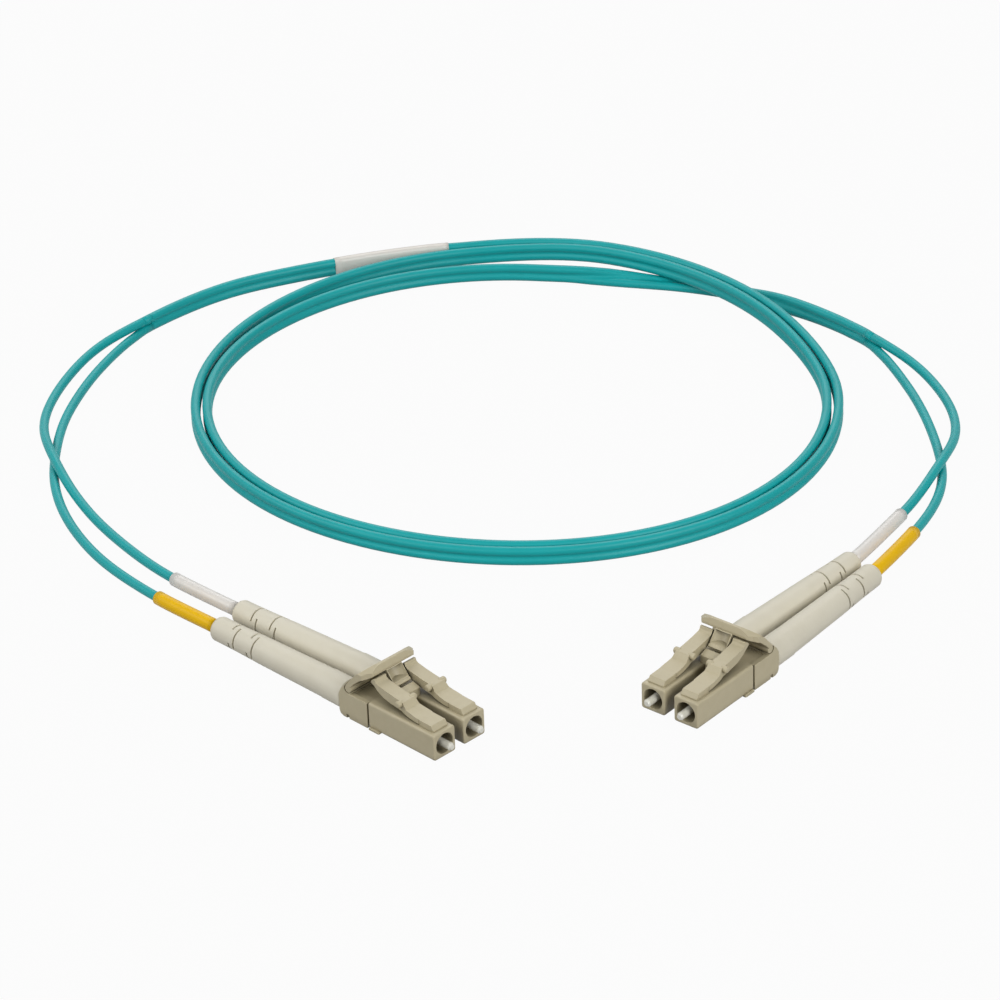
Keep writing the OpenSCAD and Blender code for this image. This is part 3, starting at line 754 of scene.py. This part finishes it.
def housing(outer):
    """The square nose with its bores, the root of the latch and the neck that the clip grips.

    A small lug stands on the outer side, 1 for left and -1 for right.
    """
    body = bar(section(NOSE, NOSE_BOTTOM, NOSE_TOP, 0.5), 0, BODY_LENGTH)
    soften(body, 0.25, segments=4, angle=60)
    nose_bore = drum((-1.15, 0, AXIS_HEIGHT), 1.65, 4.3, "X", sides=48)
    mouth = drum((-0.05, 0, AXIS_HEIGHT), 1.62, 0.3, "X", sides=48, r2=1.87)
    chamber = drum((-7.5, 0, AXIS_HEIGHT), 1.12, 13, "X", sides=48)
    for hole in (nose_bore, mouth, chamber):
        carve(body, hole)
    root = slab(
        rounded([
            (-0.72, 4.3), (-0.72, 5.0, 0.15), (-1.25, 5.7, 0.18), (-2.6, 5.72, 1), (-3.95, 5.75),
            (-3.95, 4.3)]),
        -1.5, 1.5, 0.1)
    carve(root, drum((LATCH_HINGE[0], 0, LATCH_HINGE[1]), LATCH_GROOVE_R, 4, "Y", sides=48))
    neck = bar(section(3.88, 0.62, 4.34, 0.3), 14.1, 20.05)
    carve(neck, drum((-17.2, 0, AXIS_HEIGHT), 1.55, 7, "X", sides=48))
    y = outer * NOSE / 2
    low, high = sorted((y - outer * 0.3, y + outer * 0.4))
    lug = slab(
        rounded([
            (-13.9, 0.12, 0.2), (-13.9, 0.62, 0.2), (-12.2, 0.62, 0.2), (-11.6, 0.5, 0.2),
            (-11.6, 0.2, 0.15), (-12, 0.12, 0.2)]),
        low, high, 0.12)
    return joined(body, root, neck, lug)


def latch():
    """The springy arm: a flat head, a step with two ears, and a bent tail that ends in a lip."""
    side = rounded([
        (-3.95, 5.75), (-4.9, 5.85, 2), (-5.8, 5.98, 2), (-6.55, 6.13, 0.4), (-6.8, 6.3, 0.2),
        (-7.45, 7.08, 0.25), (-9.2, 7.22, 0.8), (-11.5, 7.55, 2), (-13.0, 7.86, 0.5),
        (-13.36, 8.1, 0.3), (-13.5, 8.55, 0.12), (-13.85, 8.55, 0.15), (-14.38, 8.07, 0.1),
        (-14.43, 7.8, 0.1), (-13.9, 7.5, 0.5), (-13.05, 6.8, 0.6), (-11.8, 6.12, 1),
        (-10.3, 5.77, 1), (-8.85, 5.57), (-7.9, 5.45, 1), (-7, 5.25, 1), (-5.8, 5.06, 1),
        (-4.9, 4.99, 1), (-4.1, 4.95), (-3.95, 4.93)])
    arm = slab(side, -2, 2)
    plan = rounded(mirrored([
        (-3, 1.5), (-4.9, 1.5, 1), (-6.9, 1.36, 1), (-7.9, 1.2, 0.5), (-15, 1.17)]))
    carve(arm, slab(plan, 4, 9, upright=False), "INTERSECT")
    soften(arm, 0.15)
    barrel = drum((LATCH_HINGE[0], 0, LATCH_HINGE[1]), LATCH_BARREL_R, 2.9, "Y", 0.08)
    ears = [drum((-8.05, y, 6.68), 0.55, 1.3, "Y", 0.25) for y in (-1.3, 1.3)]
    return joined(arm, barrel, *ears)


def clip():
    """The duplex clip: one shell round both necks, and a tongue between the two plugs."""
    shell = slab(
        rounded([
            (-14.4, 0.2, 0.1), (-14.4, 4.5, 0.12), (-18.2, 4.5), (-18.4, 5.72),
            (-19.22, 5.72, 0.15), (-20.1, 4.8, 0.6), (-20.6, 3.9, 0.4), (-20.6, 0.9, 0.4),
            (-20.35, 0.3, 0.2), (-19.7, 0, 0.3), (-14.5, 0.0, 0.1)]),
        -CLIP_HALF, CLIP_HALF, 0.28)
    recess = rounded([(-13, -4.6), (-13, 4.6), (-17.9, 4.6, 0.3), (-17.9, -4.6, 0.3)])
    carve(shell, slab(recess, 4.0, 6, upright=False))
    for y in (-PITCH / 2, PITCH / 2):
        neck_hole = bar(section(3.92, 0.6, 4.35, 0.3), 13.3, 20.1)
        neck_hole.data.transform(Matrix.Translation((0, y, 0)))
        carve(shell, neck_hole)
        carve(shell, drum((-20.2, y, AXIS_HEIGHT), 1.45, 2, "X"))
        foot_notch = (-18.7, math.copysign(CLIP_HALF, y), 0)
        carve(shell, drum(foot_notch, 0.3, 1.4, "Z", sides=24))
    groove = (TRIGGER_HINGE[0], 0, TRIGGER_HINGE[1])
    carve(shell, drum(groove, TRIGGER_GROOVE_R, 12, "Y", sides=48))
    tongue = slab(
        rounded([
            (-15.3, 0.6), (-15.3, 4.28), (-14.3, 4.28), (-14.3, 4.76), (-10, 4.76, 0.15),
            (-10, 2.2, 0.4), (-11, 0.6, 0.4)]),
        -0.84, 0.84, 0.08)
    block = slab(
        rounded([
            (-11.45, 4.6), (-11.45, 6.5, 0.12), (-10.2, 6.2, 0.1), (-9.9, 6.05, 0.1),
            (-9.9, 4.6)]),
        -1.6, 1.6, 0.1)
    return joined(shell, tongue, block)


def trigger():
    """The slanted plate over both latches, whose scooped web hangs between their tails."""
    side = rounded([
        (-19.0, 5.75), (-18.3, 6.55, 0.6), (-17.3, 7.8, 2), (-16.4, 8.75, 2), (-15.0, 10.0, 1),
        (-14.62, 10.28, 0.2), (-14.2, 10.28, 0.2), (-13.85, 9.3, 0.3), (-13.85, 8.93, 0.1),
        (-14.6, 8.45, 0.5), (-15.75, 7.95, 0.8), (-17.2, 6.7, 1), (-18.1, 5.7)])
    plate = slab(side, -6, 6)
    plan = rounded(mirrored([
        (-13, 3.7), (-13.75, 3.8, 0.3), (-13.95, 4.4, 0.3), (-14.7, BAR_HALF, 0.4),
        (-15.25, CLIP_HALF, 0.4), (-20, CLIP_HALF)]))
    carve(plate, slab(plan, 4, 12, upright=False), "INTERSECT")
    crown = [
        (5.6, 4), (5.6, 9.0, 0.8), (4.6, 9.45, 0.8), (3.8, 9.9, 0.8), (2.9, 10.2, 0.6), (1.9, 10.3)]
    crown = rounded(crown + [(-p[0], *p[1:]) for p in reversed(crown)])
    carve(plate, bar(crown, 12, 20), "INTERSECT")
    soften(plate, 0.2)
    barrel = drum(
        (TRIGGER_HINGE[0], 0, TRIGGER_HINGE[1]), TRIGGER_BARREL_R, 10.7, "Y", 0.06
    )
    web = slab(
        rounded([
            (-13.75, 9), (-12.38, 7.27), (-12.3, 7.1, 0.05), (-12.0, 7.0, 0.1), (-11.8, 6.75, 0.1),
            (-11.95, 6.45, 0.1), (-13, 6.6, 0.5), (-14.6, 6.85, 0.8), (-15.6, 7.3), (-15.6, 8.2),
            (-14.6, 9)]),
        -1.6, 1.6, 0.1)
    # A round scoop runs down the web's front face
    scoop = drum((0, 0, 0), 1.58, 8, "Z", sides=96)
    scoop.data.transform(
        Matrix.Translation((-12.64, 0, 8.42)) @ Matrix.Rotation(math.radians(-WEB_LEAN), 4, "Y")
    )
    reach = [(-20, -2), (-20, 2), (-10, 2), (-10, -2)]
    carve(scoop, slab(reach, 7.2, 8.9, upright=False), "INTERSECT")
    carve(web, scoop)
    return joined(plate, barrel, web)


def shade(piece):
    """Smooth faces between rounded edges, with flat faces kept flat."""
    bpy.ops.object.select_all(action="DESELECT")
    piece.select_set(True)
    bpy.context.view_layer.objects.active = piece
    bpy.ops.object.shade_smooth_by_angle(angle=math.radians(40))
    level = piece.modifiers.new("flat_faces", "WEIGHTED_NORMAL")
    level.keep_sharp = True
    bpy.ops.object.modifier_apply(modifier=level.name)


def settle(pattern, name, place, body, node):
    """Puts a copy of a moulded piece in its place on the table, for a CAD node."""
    mesh = pattern.data.copy()
    mesh.transform(Matrix.Scale(MM, 4) @ place)
    mesh.materials.clear()
    mesh.materials.append(taupe)
    piece = bpy.data.objects.new(name, mesh)
    bpy.context.scene.collection.objects.link(piece)
    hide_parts(node)
    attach(piece, body)


housings = {outer: housing(outer) for outer in (1, -1)}
patterns = {"latch": latch(), "clip": clip(), "trigger": trigger()}
for pattern in [*housings.values(), *patterns.values()]:
    shade(pattern)
for e, end in enumerate(ENDS):
    for f, fibre in enumerate(FIBRES):
        who, place = f"{end}_{fibre}", plug_place(e, f)
        settle(housings[side_of(e, f)], f"{who}_nose_block", place, ROOT, f"{who}_housing")
        settle(patterns["latch"], f"{who}_latch_arm", place, f"{who}_latch_body", f"{who}_latch")
    place = pair_place(e)
    settle(patterns["clip"], f"{end}_duplex_clip", place, ROOT, f"{end}_clip")
    settle(patterns["trigger"], f"{end}_trigger_lever", place, f"{end}_trigger_body",
           f"{end}_trigger")
for pattern in [*housings.values(), *patterns.values()]:
    bpy.data.objects.remove(pattern)

# The turned and ceramic pieces and the boots keep their CAD shapes
KEPT = {
    "ferrule": zirconia, "ferrule_holder": nickel, "spring": nickel, "back_post": nickel,
    "crimp_ring": nickel, "boot": cream,
}
for end in ENDS:
    for fibre in FIBRES:
        for kind, material in KEPT.items():
            for slot in nodes[f"{end}_{fibre}_{kind}"].material_slots:
                slot.material = material
